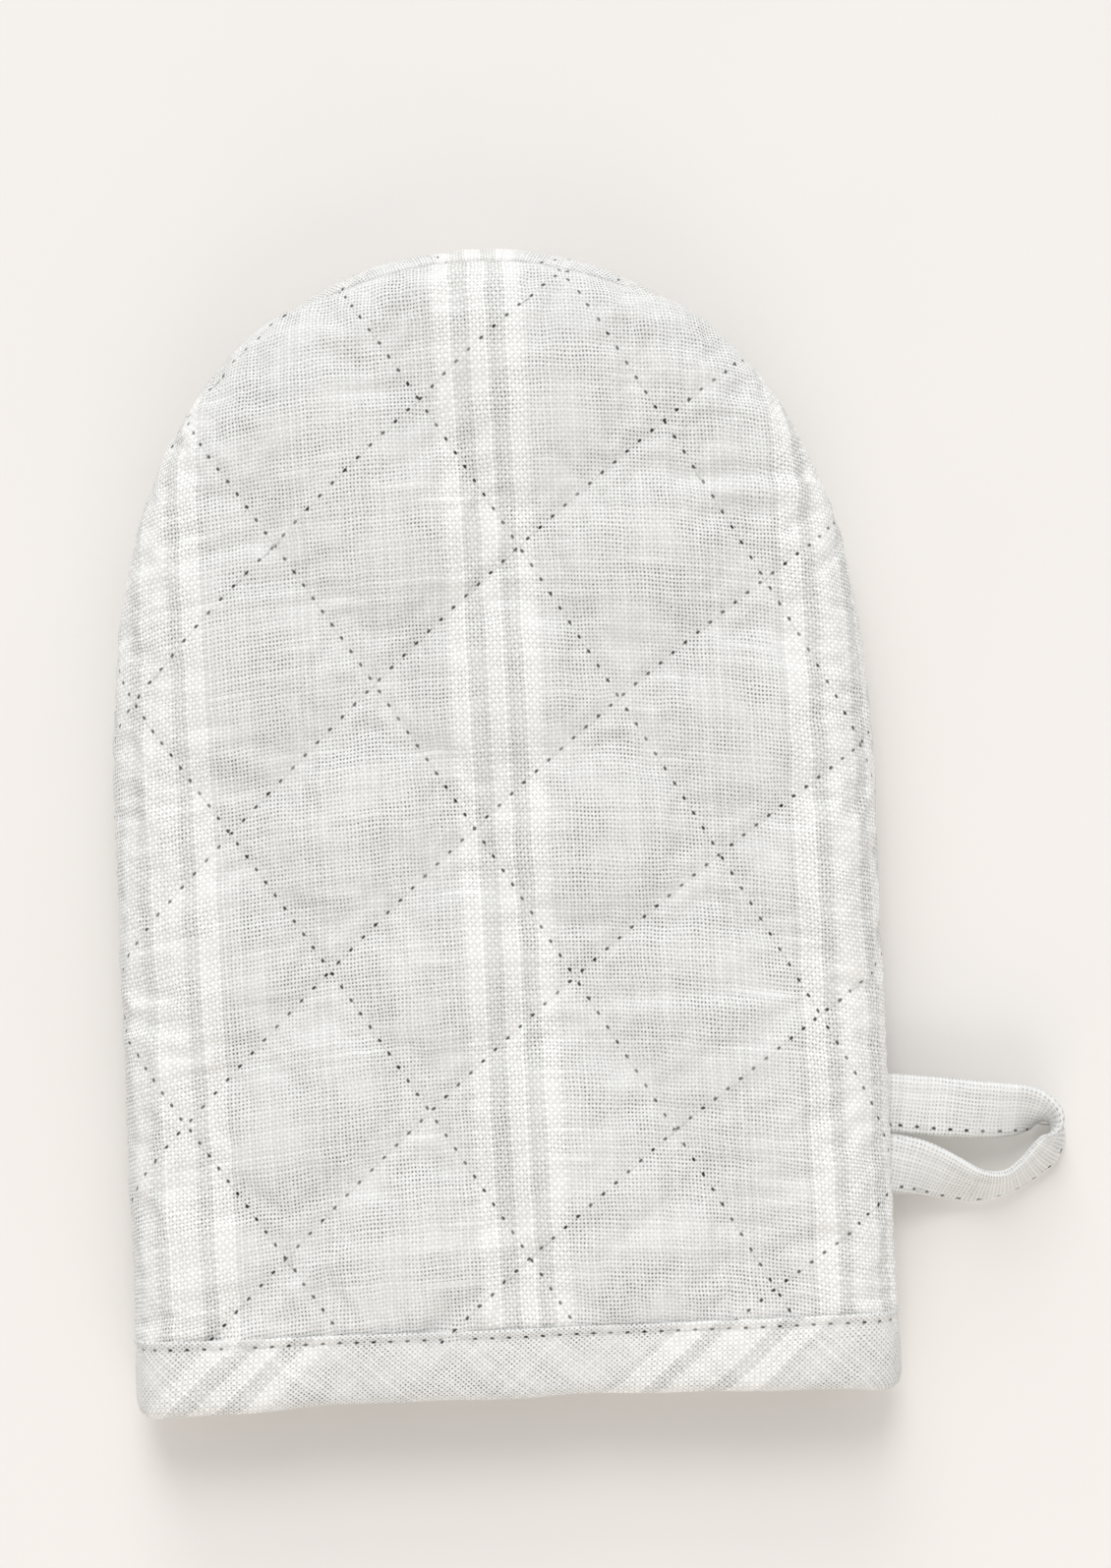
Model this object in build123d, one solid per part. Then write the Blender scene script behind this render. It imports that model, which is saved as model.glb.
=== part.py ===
"""A thumbless quilted oven mitt, lying on its back on a table.

Two quilted panels (cloth, wadding, lining) are sewn together down the sides and round the
fingertips, the raw mouth is bound with a bias strip, and a folded strip makes a hanging loop
in the side seam. Millimetres, +Z up, +Y from the mouth to the fingertips, +X to the loop side.
The origin is the middle of the mitt's body, on the plane it lies on.
"""
from build123d import *
import math
import os
from functools import lru_cache

# Driving dimensions of the whole mitt
MITT_WIDTH = 159.0
MITT_LENGTH = 241.0
MITT_HEIGHT = 26.0
TIP_RISE = 141.0            # how far the rounded fingertip end reaches past the straight sides
TIP_FULLNESS = 3.45         # exponent of the fingertip curve, a half ellipse is 2
UPPER_ROUND = 13.0          # radius where the front panel turns down to the side seam
LOWER_ROUND = 10.0          # radius where the back panel turns up to the side seam
SEAM_HEIGHT = 11.5

# The three layers of a panel, measured in from its outer face
CLOTH = 0.5
WADDING = 4.5
LINING = 0.5
UNDER_BINDING = 0.8         # how far the panel is pressed in where the binding covers it
PRESSED_WADDING = 2.0

# Seams, binding and thread
ALLOWANCE = 11.5            # how far in from the silhouette the turned-in seam edges reach
PRESSED_EDGE = 0.8          # wadding thickness inside the sewn seam edges
BINDING_WIDTH = 15.0
BINDING_CLOTH = 0.8         # two folded plies
THREAD = 0.5
STAND_OFF = 0.15            # how far a stitch stands proud of the cloth
OVERLOCK = 0.25             # how far the overlock thread stands off the seam edges

# Diamond quilting, as two families of parallel lines through one crossing
QUILT_CROSSING = (-5.0, -4.5)
QUILT_FAMILIES = ((-58.8, 41.3), (41.7, 37.0))   # direction in degrees, spacing in mm
QUILT_LINES = 4             # lines on each side of the crossing, in each family

# Hanging loop, a strip folded to four plies
LOOP_WIDTH = 12.5
LOOP_THICKNESS = 1.5
LOOP_STITCH_INSET = 1.8     # from the strip's folded-together edge
# Middle of the strip from its upper root round to its lower one, and its tilt in degrees:
# 0 lies flat with the loop's inner face up, 90 stands on edge, 180 has the outer face up.
LOOP_STATIONS = (
    (80.4, -61.5, 11.5, 0),
    (86.0, -62.2, 11.3, 1),
    (92.5, -63.0, 10.8, 3),
    (101.5, -64.0, 9.8, 14),
    (108.5, -64.6, 8.8, 34),
    (113.0, -65.6, 7.8, 66),
    (115.0, -68.4, 7.2, 100),
    (113.6, -71.6, 7.1, 116),
    (109.4, -76.2, 7.0, 118),
    (104.2, -79.4, 7.2, 117),
    (98.3, -79.9, 7.6, 124),
    (92.2, -78.0, 8.6, 142),
    (86.0, -75.6, 10.2, 164),
    (80.4, -74.2, 11.5, 180),
)

HALF_WIDTH = MITT_WIDTH / 2
MOUTH_Y = -MITT_LENGTH / 2
TIP_START_Y = MITT_LENGTH / 2 - TIP_RISE
BINDING_TOP_Y = MOUTH_Y + BINDING_WIDTH
PANEL_Y = BINDING_TOP_Y + CLOTH
RAW_EDGE_Y = MOUTH_Y + BINDING_CLOTH
LOFTED = (0.0, CLOTH, CLOTH + WADDING, CLOTH + WADDING + LINING)
PRESSED = (
    UNDER_BINDING,
    UNDER_BINDING + CLOTH,
    UNDER_BINDING + CLOTH + PRESSED_WADDING,
    UNDER_BINDING + CLOTH + PRESSED_WADDING + LINING,
)
INNER_LEAF = PRESSED[3] + BINDING_CLOTH
FLANGE = (0.0, CLOTH, CLOTH + PRESSED_EDGE, CLOTH + PRESSED_EDGE + LINING)
BIG = 400.0


def outline(inset):
    """The mitt's plan shape, set in from its silhouette and running on past the mouth."""
    half = HALF_WIDTH - inset
    rise = TIP_RISE - inset
    steps = 24
    points = []
    for step in range(steps + 1):
        angle = math.pi * step / steps
        up = rise * math.sin(angle) ** (2 / TIP_FULLNESS)
        points.append((half * math.cos(angle), TIP_START_Y + up))
    bottom = MOUTH_Y - 30
    tip = Spline(*points, tangents=((0, 1), (0, -1)))
    sides = Polyline(points[-1], (-half, bottom), (half, bottom), points[0])
    return make_face(tip.edges() + sides.edges())


@lru_cache(None)
def column(inset):
    """The plan shape as an upright block."""
    return extrude(outline(inset), MITT_HEIGHT)


@lru_cache(None)
def pillow(inset):
    """The mitt's outer form set in by a distance, with its rounded sides."""
    height = MITT_HEIGHT - 2 * inset
    block = Pos(0, 0, inset) * extrude(outline(inset), height)
    for end, radius in ((-1, UPPER_ROUND - inset), (0, LOWER_ROUND - inset)):
        face = block.faces().sort_by(Axis.Z)[end]
        rim = [edge for edge in face.edges() if edge.center().Y > MOUTH_Y - 20]
        block = fillet(rim, radius)
    return block


def between(outer, inner):
    """The wall between two set-in forms."""
    return pillow(outer) - pillow(inner)


def along(low, high):
    """Everything from one Y to another."""
    return Pos(0, (low + high) / 2, 0) * Box(BIG, high - low, BIG)


def levels(side, low, high):
    """Everything between two distances from the seam plane, above (1) or below (-1)."""
    middle = SEAM_HEIGHT + side * (low + high) / 2
    return Pos(0, 0, middle) * Box(2 * BIG, 2 * BIG, high - low)


def layer(side, index):
    """One layer of a panel: lofted over the hand, pressed under the binding, turned in at the seam."""
    outer, inner = LOFTED[index], LOFTED[index + 1]
    press_outer, press_inner = PRESSED[index], PRESSED[index + 1]
    edge_low, edge_high = FLANGE[index], FLANGE[index + 1]
    lofted = between(outer, inner) & along(BINDING_TOP_Y, BIG / 2) & levels(side, edge_low, BIG / 4)
    pressed = between(press_outer, press_inner) & along(RAW_EDGE_Y, BINDING_TOP_Y)
    pressed = pressed & levels(side, 0, BIG / 4)
    turned = (pillow(outer) - column(ALLOWANCE)) & along(PANEL_Y, BIG / 2)
    turned = turned & levels(side, edge_low, edge_high)
    whole = lofted + pressed + turned
    if index != 1:
        step = between(min(outer, press_outer), max(inner, press_inner))
        whole += step & along(BINDING_TOP_Y, PANEL_Y) & levels(side, 0, BIG / 4)
    return whole


def panel(side):
    """Cloth, wadding and lining of the front (1) or back (-1)."""
    cloth = layer(side, 0)
    lining = layer(side, 2)
    wadding = layer(side, 1) - cloth - lining
    return cloth, wadding, lining


def quilting_lines(side, low, high):
    """A lattice of thin runs on every quilting line, mirrored left to right on the back."""
    runs = []
    for angle, spacing in QUILT_FAMILIES:
        for number in range(-QUILT_LINES, QUILT_LINES + 1):
            run = Pos(0, number * spacing, (low + high) / 2) * Box(BIG, THREAD, high - low)
            turned = Rot(0, 0, side * angle) * run
            runs.append(Pos(side * QUILT_CROSSING[0], QUILT_CROSSING[1], 0) * turned)
    return Part() + runs


def quilting_thread(side):
    """Needle thread on the cloth and bobbin thread on the lining, over the level part of a panel."""
    if side > 0:
        cloth_face, lining_face, rounding = MITT_HEIGHT, MITT_HEIGHT - LOFTED[3], UPPER_ROUND
        needle = quilting_lines(side, cloth_face - THREAD / 2, cloth_face + STAND_OFF)
        bobbin = quilting_lines(side, lining_face - STAND_OFF, lining_face + THREAD / 2)
    else:
        lining_face, rounding = LOFTED[3], LOWER_ROUND
        needle = quilting_lines(side, 0, THREAD / 2)
        bobbin = quilting_lines(side, lining_face - THREAD / 2, lining_face + STAND_OFF)
    level = extrude(outline(rounding), 2 * MITT_HEIGHT) & along(PANEL_Y, BIG / 2)
    return (needle + bobbin) & level


def side_seam_thread():
    """The line of stitches that joins front to back, just inside the silhouette."""
    ring = (column(0.8) - column(0.8 + THREAD)) & along(PANEL_Y, BIG / 2)
    return ring & levels(1, -FLANGE[2], FLANGE[2])


def seam_overlock_thread():
    """The thread that wraps the two turned-in edges inside the pocket."""
    sleeve = column(ALLOWANCE - 4) - column(ALLOWANCE + OVERLOCK)
    reach = FLANGE[3] + OVERLOCK
    sleeve = sleeve & along(PANEL_Y + 1, BIG / 2) & levels(1, -reach, reach)
    edges = (column(0) - column(ALLOWANCE)) & levels(1, -FLANGE[3], FLANGE[3])
    return sleeve - edges


def mouth_binding():
    """One bias strip folded over the raw edge all round the mouth, with an outer and an inner leaf."""
    outer_leaf = between(0, UNDER_BINDING) & along(MOUTH_Y, BINDING_TOP_Y)
    inner_leaf = between(PRESSED[3], INNER_LEAF) & along(MOUTH_Y, BINDING_TOP_Y)
    fold = between(0, INNER_LEAF) & along(MOUTH_Y, RAW_EDGE_Y)
    return outer_leaf + inner_leaf + fold


def binding_topstitch_thread():
    """Stitches through both leaves, close to the binding's upper edge."""
    stitch_y = BINDING_TOP_Y - 1.6
    row = along(stitch_y - THREAD / 2, stitch_y + THREAD / 2)
    outer = between(0, THREAD / 2)
    inner = between(INNER_LEAF - THREAD / 2, INNER_LEAF + STAND_OFF)
    return (outer + inner) & row


def strip(low, high, thickness):
    """Part of the loop's strip, between two offsets from its middle line across its width."""
    sections = []
    count = len(LOOP_STATIONS)
    for index, (x, y, z, tilt) in enumerate(LOOP_STATIONS):
        before = LOOP_STATIONS[max(index - 1, 0)]
        after = LOOP_STATIONS[min(index + 1, count - 1)]
        ahead = Vector(after[0] - before[0], after[1] - before[1], 0).normalized()
        if index in (0, count - 1):
            ahead = Vector(1, 0, 0) if index == 0 else Vector(-1, 0, 0)
        level = Vector(-ahead.Y, ahead.X, 0)
        turn = math.radians(tilt)
        across = level * math.cos(turn) + Vector(0, 0, 1) * math.sin(turn)
        plane = Plane(origin=(x, y, z), x_dir=across, z_dir=ahead)
        sections.append(plane * Pos((low + high) / 2, 0) * Rectangle(high - low, thickness))
    return loft(sections, ruled=True)


def hanging_loop():
    """The folded strip, bent round from its upper root to its lower one."""
    return strip(-LOOP_WIDTH / 2, LOOP_WIDTH / 2, LOOP_THICKNESS)


def loop_edge_thread():
    """The stitches that close the strip along one edge, right through it."""
    middle = -LOOP_WIDTH / 2 + LOOP_STITCH_INSET
    return strip(middle - THREAD / 2, middle + THREAD / 2, LOOP_THICKNESS + 0.2)


def export(part, name):
    export_step(part, f"parts/{name}.step")


os.makedirs("parts", exist_ok=True)
for side, name in ((1, "front"), (-1, "back")):
    shell, wadding, lining = panel(side)
    export(shell, f"{name}_shell")
    export(wadding, f"{name}_wadding")
    export(lining, f"{name}_lining")
    export(quilting_thread(side), f"{name}_quilting_thread")
export(side_seam_thread(), "side_seam_thread")
export(seam_overlock_thread(), "seam_overlock_thread")
export(mouth_binding(), "mouth_binding")
export(binding_topstitch_thread(), "binding_topstitch_thread")
export(hanging_loop(), "hanging_loop")
export(loop_edge_thread(), "loop_edge_thread")
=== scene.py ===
"""A thumbless quilted oven mitt lying on its back on a pale table.

Metres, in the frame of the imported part: +Z up, +Y from the mouth to the fingertips, +X to the
side with the hanging loop. The sections follow the order in which the mitt is sewn.
"""

import math

import bpy
import numpy as np
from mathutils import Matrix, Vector
from mathutils.bvhtree import BVHTree
from mathutils.geometry import delaunay_2d_cdt


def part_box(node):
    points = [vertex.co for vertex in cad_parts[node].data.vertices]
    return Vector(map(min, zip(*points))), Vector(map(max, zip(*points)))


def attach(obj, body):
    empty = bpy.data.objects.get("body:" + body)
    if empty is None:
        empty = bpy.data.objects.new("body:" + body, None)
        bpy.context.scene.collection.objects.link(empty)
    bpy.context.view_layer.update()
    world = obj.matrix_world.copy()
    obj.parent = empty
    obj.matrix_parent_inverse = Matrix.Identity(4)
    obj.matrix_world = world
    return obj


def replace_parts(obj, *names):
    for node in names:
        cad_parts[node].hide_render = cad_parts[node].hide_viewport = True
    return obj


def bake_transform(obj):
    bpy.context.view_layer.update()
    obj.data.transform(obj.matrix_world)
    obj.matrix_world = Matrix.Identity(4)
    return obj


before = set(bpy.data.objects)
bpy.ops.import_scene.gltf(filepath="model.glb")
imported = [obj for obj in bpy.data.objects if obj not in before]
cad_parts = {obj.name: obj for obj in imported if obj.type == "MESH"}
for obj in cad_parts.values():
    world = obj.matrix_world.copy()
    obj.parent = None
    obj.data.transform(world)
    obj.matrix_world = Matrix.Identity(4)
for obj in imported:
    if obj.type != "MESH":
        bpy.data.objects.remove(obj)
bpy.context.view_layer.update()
MM = 0.001


# ----------------------------------------------------------
# Front panel cloth. The outer face of the front: an open plain weave of slubby cotton and
# linen yarn, quilted flat in diamonds and then cut to shape. Each diamond puffs up between
# its stitch lines, and the cut edge is drawn down and in at the side seam.
body_low, body_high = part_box("mouth_binding")
tip_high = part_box("front_shell")[1]
HALF_WIDTH = (body_high.x - body_low.x) / 2
MOUTH_Y, BINDING_Y, TIP_Y = body_low.y, body_high.y + 1.4 * MM, tip_high.y
BODY_TOP = body_high.z
TIP_RISE = 141 * MM          # length of the rounded fingertip end
TIP_FULLNESS = 3.45          # its curve's exponent, where a half ellipse has 2
QUILT_CROSSING = np.array((-4.4, -0.3)) * MM
# Each family's angle, spacing, and distance along a line between crossings.
QUILT_FAMILIES = ((-58.1, 40.4 * MM, 36.8 * MM), (40.7, 36.4 * MM, 40.9 * MM))
BOW = 1.28                   # droop of the quilted cloth towards the sides, per metre
STITCH = 3.5 * MM
CELL = 2.3 * MM              # mesh size of the simulated cloth
ROLL = 13 * MM               # plan width of the rounded side
CLOTH = 0.5 * MM
WARP, WEFT = 0.742 * MM, 0.84 * MM      # thread spacings
STRIPE_CENTRE, STRIPE_TILT = 1.8 * MM, -0.0121
STRIPE_REPEAT = 141 * MM     # from one narrow group of stripes to the next
HOLE = (0.56 * MM, 0.37 * MM)           # needle hole, along and across the seam
RAW_EDGE = 3.6 * MM          # the cloth's lower edge above the hem, inside the binding
# Set-in creases of the front, in mm: start, end and depth, then the widths of a crease's valley
# and of the raised lip beside it, the lip's offset, and how far a crease takes to fade out.
CREASES = (((36, 70.8), (74, 70.8), 1.0), ((17, -36.6), (62, -35.9), 0.8),
           ((-21, -106.5), (-4, -94.1), 1.3), ((-68, -109.5), (-38, -83.5), 1.3),
           ((-84, -37.0), (-62, -39.5), 1.0))
VALLEY, LIP, LIP_OFFSET, CREASE_FADE = 1.9, 2.4, 3.2, 6.0
WEFT_YARN = "#E9E9E7"
WHITE_YARN, GREY_YARN, BASE_YARN = "#F8F7F4", "#DCDCD9", "#E3E3E1"


def smooth(low, high, value):
    """Rises smoothly from 0 at low to 1 at high."""
    t = np.clip((value - low) / (high - low), 0, 1)
    return t * t * (3 - 2 * t)


def gone_along(points):
    """Length of the line through the points, up to each of them."""
    return np.concatenate(([0], np.cumsum(np.linalg.norm(np.diff(points, axis=0), axis=1))))


def unit(vectors):
    """The vectors at length 1."""
    return vectors / np.linalg.norm(vectors, axis=1)[:, None]


def silhouette():
    """The mitt's plan outline from the mouth's right corner round the tip to its left corner."""
    angles = np.linspace(0, math.pi, 701)
    rise = TIP_RISE * np.sin(angles) ** (2 / TIP_FULLNESS)
    tip = np.column_stack((HALF_WIDTH * np.cos(angles), TIP_Y - TIP_RISE + rise))
    side = np.linspace(MOUTH_Y, TIP_Y - TIP_RISE, 200, endpoint=False)
    right = np.column_stack((np.full(200, HALF_WIDTH), side))
    points = np.vstack((right, tip, right[::-1] * (-1, 1)))
    gone = gone_along(points)
    even = np.linspace(0, gone[-1], 1200)
    points = np.column_stack([np.interp(even, gone, points[:, k]) for k in (0, 1)])
    ahead = np.gradient(points, axis=0)
    ahead = unit(ahead)
    return points, np.column_stack((ahead[:, 1], -ahead[:, 0]))


OUTLINE, OUTWARD = silhouette()
OUTLINE_TIP = smooth(0.8, 0.97, OUTWARD[:, 1])      # 1 where the seam rolls over the fingertips


def nearest_on_outline(points):
    """Index of the nearest outline point, and the distance inside the outline."""
    index = np.zeros(len(points), int)
    for start in range(0, len(points), 2000):
        part = points[start:start + 2000]
        gap = np.linalg.norm(part[:, None] - OUTLINE[None], axis=2)
        index[start:start + 2000] = gap.argmin(1)
    inside = ((OUTLINE[index] - points) * OUTWARD[index]).sum(1)
    return index, inside


def roll_of(side, tip):
    """The rounded side's start angle, centre height and vertical radius, front (1) or back (-1)."""
    if side > 0:
        start = np.radians(-20 + 58.3 * tip)
        centre = (14.8 - 4.0 * tip) * MM
        return start, centre, BODY_TOP - 1.5 * MM - centre
    start = np.radians(-20 - 18.3 * tip)
    centre = (8.2 + 4.0 * tip) * MM
    return start, centre, centre - 0.6 * MM


def roll_table(side, tip, steps=48):
    """Angles round the rounded side and the cloth length from its top to each, for every point."""
    start, centre, height = roll_of(side, tip)
    angles = np.radians(90) + (start - np.radians(90))[:, None] * np.linspace(0, 1, steps)
    middle = (angles[:, 1:] + angles[:, :-1]) / 2
    speed = np.hypot(ROLL * np.sin(middle), height[:, None] * np.cos(middle))
    lengths = np.cumsum(speed * -np.diff(angles, axis=1), axis=1)
    return angles, np.column_stack((np.zeros(len(tip)), lengths)), centre, height


def seam_point(index):
    """The side seam in plan and height."""
    tip = OUTLINE_TIP[index]
    inset = (0.9 + 2.0 * tip) * MM
    height = (11.5 + 7.8 * tip) * MM
    return np.column_stack((OUTLINE[index] - OUTWARD[index] * inset[:, None], height))


def laid_on_form(side, flat):
    """Where points of a panel's flat cloth lie once the mitt is sewn and turned out."""
    index, inside = nearest_on_outline(flat)
    angles, lengths, centre, height = roll_table(side, OUTLINE_TIP[index])
    used = np.clip(ROLL - inside, 0, lengths[:, -1])
    angle = np.array([np.interp(u, l, a) for u, l, a in zip(used, lengths, angles)])
    inset = ROLL * (1 - np.cos(angle))
    plan = np.where((inside > ROLL)[:, None], flat, OUTLINE[index] - OUTWARD[index] * inset[:, None])
    points = np.column_stack((plan, centre + side * height * np.sin(angle)))
    edge_angle = angles[:, -1]
    edge_inset = ROLL * (1 - np.cos(edge_angle))
    edge_plan = OUTLINE[index] - OUTWARD[index] * edge_inset[:, None]
    edge = np.column_stack((edge_plan, centre + side * height * np.sin(edge_angle)))
    fade = np.exp(-(lengths[:, -1] - used) / (5 * MM)) * (inside < ROLL)
    return points + (seam_point(index) - edge) * fade[:, None]


def cut_edge(side):
    """The panel's cut outline on the flat cloth, where the side seam is sewn."""
    angles, lengths, centre, height = roll_table(side, OUTLINE_TIP)
    spare = lengths[:, -1] - ROLL
    edge = OUTLINE + OUTWARD * spare[:, None]
    along = gone_along(edge)
    marks = np.linspace(0, along[-1], int(along[-1] / CELL))
    return np.column_stack([np.interp(marks, along, edge[:, k]) for k in (0, 1)])


def quilt_axes(side):
    """Both families of quilting lines: unit direction, spacing and distance between crossings."""
    for angle, spacing, length in QUILT_FAMILIES:
        turn = math.radians(angle)
        yield np.array((math.cos(turn) * side, math.sin(turn))), spacing, length


def drooped(points, sign=-1):
    """Moves points from the quilter's straight lines to the cloth as it lies, or back with 1."""
    moved = np.array(points, float)
    moved[:, 1] += sign * BOW * moved[:, 0] ** 2
    return moved


def quilt_runs(side):
    """Every quilting line as flat points, about a cell apart, that meet where the lines cross."""
    (first, _, length_1), (second, _, length_2) = quilt_axes(side)
    centre = QUILT_CROSSING * (side, 1)
    runs = []
    for ahead, apart, across, gap in ((first, length_1, second, length_2),
                                      (second, length_2, first, length_1)):
        step = apart / round(apart / (2.1 * MM))
        marks = np.arange(-100, 101) * step
        for number in range(-5, 6):
            runs.append(drooped(centre + number * gap * across + marks[:, None] * ahead))
    return runs


def inside_polygon(points, polygon):
    """Which points lie inside a closed polygon."""
    x, y = points[:, 0], points[:, 1]
    hits = np.zeros(len(points), int)
    for (x1, y1), (x2, y2) in zip(polygon, np.roll(polygon, -1, axis=0)):
        if y1 != y2:
            crosses = (y1 > y) != (y2 > y)
            hits += crosses & (x < (x2 - x1) * (y - y1) / (y2 - y1) + x1)
    return hits % 2 == 1


def line_distance(side, points):
    """Distance from each flat point to the nearest quilting line."""
    straight = drooped(points, 1) - QUILT_CROSSING * (side, 1)
    gaps = []
    for ahead, spacing, length in quilt_axes(side):
        across = straight @ np.array((-ahead[1], ahead[0]))
        gaps.append(np.abs(across - spacing * np.round(across / spacing)))
    return np.minimum(*gaps)


def flat_panel(side):
    """The flat cloth as triangles that follow the cut edge and every quilting line."""
    low = MOUTH_Y + RAW_EDGE
    rim = cut_edge(side)
    rim = rim[rim[:, 1] > low + 0.3 * MM]
    right, left = rim[0] * (1, 0) + (0, low), rim[-1] * (1, 0) + (0, low)
    count = int((right[0] - left[0]) / CELL)
    hem = np.column_stack((np.linspace(left[0], right[0], count), np.full(count, low)))
    border = np.vstack((rim, hem))
    points, edges = list(map(tuple, border)), []
    nearest = 0.62 * CELL
    for run in quilt_runs(side):
        gap = np.array([np.linalg.norm(border - p, axis=1).min() for p in run])
        run = run[inside_polygon(run, border) & (gap > nearest)]
        if len(run) > 1:
            first = len(points)
            points += list(map(tuple, run))
            edges += [(first + k, first + k + 1) for k in range(len(run) - 1)]
    x = np.arange(-0.1, 0.1, CELL)
    y = np.arange(MOUTH_Y, TIP_Y + 0.01, CELL * math.sqrt(3) / 2)
    grid = np.array([(px + (k % 2) * CELL / 2, py) for k, py in enumerate(y) for px in x])
    grid = grid[inside_polygon(grid, border)]
    gap = np.array([np.linalg.norm(border - p, axis=1).min() for p in grid])
    grid = grid[(gap > nearest) & (line_distance(side, grid) > nearest)]
    points += list(map(tuple, grid))
    face = [list(range(len(border)))]
    made = delaunay_2d_cdt([Vector(p) for p in points], edges, face, 1, 1e-6, False)
    return np.array([tuple(v) for v in made[0]]), np.array(made[2])[:, ::side], len(rim)


def shown(name, data):
    """A new object in the scene."""
    made = bpy.data.objects.new(name, data)
    bpy.context.scene.collection.objects.link(made)
    return made


def applied(made):
    """The object with its modifiers turned into plain mesh."""
    graph = bpy.context.evaluated_depsgraph_get()
    made.data = bpy.data.meshes.new_from_object(made.evaluated_get(graph))
    made.modifiers.clear()
    return made


def puffed(form, flat, triangles, pinned, pressure, slack):
    """Blows the cloth up between its stitch lines with the cloth solver, at ten times its size."""
    grow = 10
    mesh = bpy.data.meshes.new("sewn")
    mesh.from_pydata(form * grow, [], triangles)
    cloth = shown("sewn", mesh)
    cloth.vertex_groups.new(name="sewn").add(np.flatnonzero(pinned).tolist(), 1.0, "REPLACE")
    cloth.shape_key_add(name="sewn up")
    cut = cloth.shape_key_add(name="as cut")
    cut.data.foreach_set("co", (np.column_stack((flat, np.zeros(len(flat)))) * grow).ravel())
    cut.value = 0
    solver = cloth.modifiers.new("cloth", "CLOTH")
    settings = solver.settings
    settings.vertex_group_mass = "sewn"
    settings.rest_shape_key = cut
    settings.quality = 8
    settings.mass = 0.4
    settings.tension_stiffness = 40
    settings.compression_stiffness = 40
    settings.shear_stiffness = 15
    settings.bending_stiffness = 1.2
    settings.air_damping = 4
    settings.use_pressure = True
    settings.uniform_pressure_force = pressure
    settings.shrink_min = -slack
    settings.effector_weights.gravity = 0
    solver.collision_settings.use_collision = False
    solver.point_cache.frame_start, solver.point_cache.frame_end = 1, 40
    for number in range(1, 31):
        bpy.context.scene.frame_set(number)
    made = cloth.evaluated_get(bpy.context.evaluated_depsgraph_get()).to_mesh()
    points = np.zeros(len(made.vertices) * 3)
    made.vertices.foreach_get("co", points)
    bpy.context.scene.frame_set(1)
    bpy.data.objects.remove(cloth)
    return points.reshape(-1, 3) / grow


def vertex_normals(points, triangles):
    """Unit normals of a triangle mesh, weighted by area."""
    a, b, c = (points[triangles[:, k]] for k in range(3))
    face = np.cross(b - a, c - a)
    normals = np.zeros_like(points)
    for k in range(3):
        np.add.at(normals, triangles[:, k], face)
    return normals / np.maximum(np.linalg.norm(normals, axis=1), 1e-12)[:, None]


def finer(points, triangles, maps):
    """Splits every triangle into four on a smooth curved surface."""
    normals = vertex_normals(points, triangles)
    pairs = np.sort(triangles[:, [0, 1, 1, 2, 2, 0]].reshape(-1, 2), axis=1)
    pairs, which = np.unique(pairs, axis=0, return_inverse=True)
    (a, b), (na, nb) = points[pairs].swapaxes(0, 1), normals[pairs].swapaxes(0, 1)
    rise = ((b - a) * na).sum(1)[:, None] * na + ((a - b) * nb).sum(1)[:, None] * nb
    m = which.reshape(-1, 3) + len(points)
    corners = [np.column_stack((triangles[:, k], m[:, k], m[:, k - 1])) for k in range(3)]
    maps = {key: np.vstack((flat, flat[pairs].mean(1))) for key, flat in maps.items()}
    return np.vstack((points, (a + b) / 2 - rise / 8)), np.vstack((*corners, m)), maps


def piece(name, points, faces, maps, material):
    """A mesh object whose UV maps are the cloth's own flat coordinates, in metres."""
    mesh = bpy.data.meshes.new(name)
    mesh.from_pydata(points, [], faces)
    corner = np.zeros(len(mesh.loops), int)
    mesh.loops.foreach_get("vertex_index", corner)
    for key, flat in maps.items():
        mesh.uv_layers.new(name=key).data.foreach_set("uv", flat[corner].ravel())
    mesh.shade_smooth()
    mesh.materials.append(material)
    return shown(name, mesh)


def thickened(made, thickness):
    """Gives a sheet its thickness, on the side away from its normals."""
    solid = made.modifiers.new("thickness", "SOLIDIFY")
    solid.thickness = thickness
    solid.offset = -1
    return applied(made)


def colour(code):
    """Linear colour of an sRGB hex code."""
    parts = [int(code[k:k + 2], 16) / 255 for k in (1, 3, 5)]
    return (*[p / 12.92 if p <= 0.04045 else ((p + 0.055) / 1.055) ** 2.4 for p in parts], 1)


def add(tree, kind, *values, **settings):
    """Adds a node, applies its settings, links or sets its inputs in order; gives its output."""
    made = tree.nodes.new(kind)
    for key, value in settings.items():
        setattr(made, key, value)
    for place, value in enumerate(values):
        if isinstance(value, bpy.types.NodeSocket):
            tree.links.new(value, made.inputs[place])
        elif value is not None:
            made.inputs[place].default_value = value
    return made.outputs[0]


def yarn(code):
    """A yarn's colour. Its alpha is how open the weave is beside it, which sets the strength of the
    painted shade in its thread gaps: white yarn is the fullest.
    """
    return (*colour(code)[:3], 0.7 if code == WHITE_YARN else 1.0)


def bare_material(name):
    """A new material, its node tree and its shader."""
    material = bpy.data.materials.new(name)
    material.use_nodes = True
    return material, material.node_tree, material.node_tree.nodes["Principled BSDF"]


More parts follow.
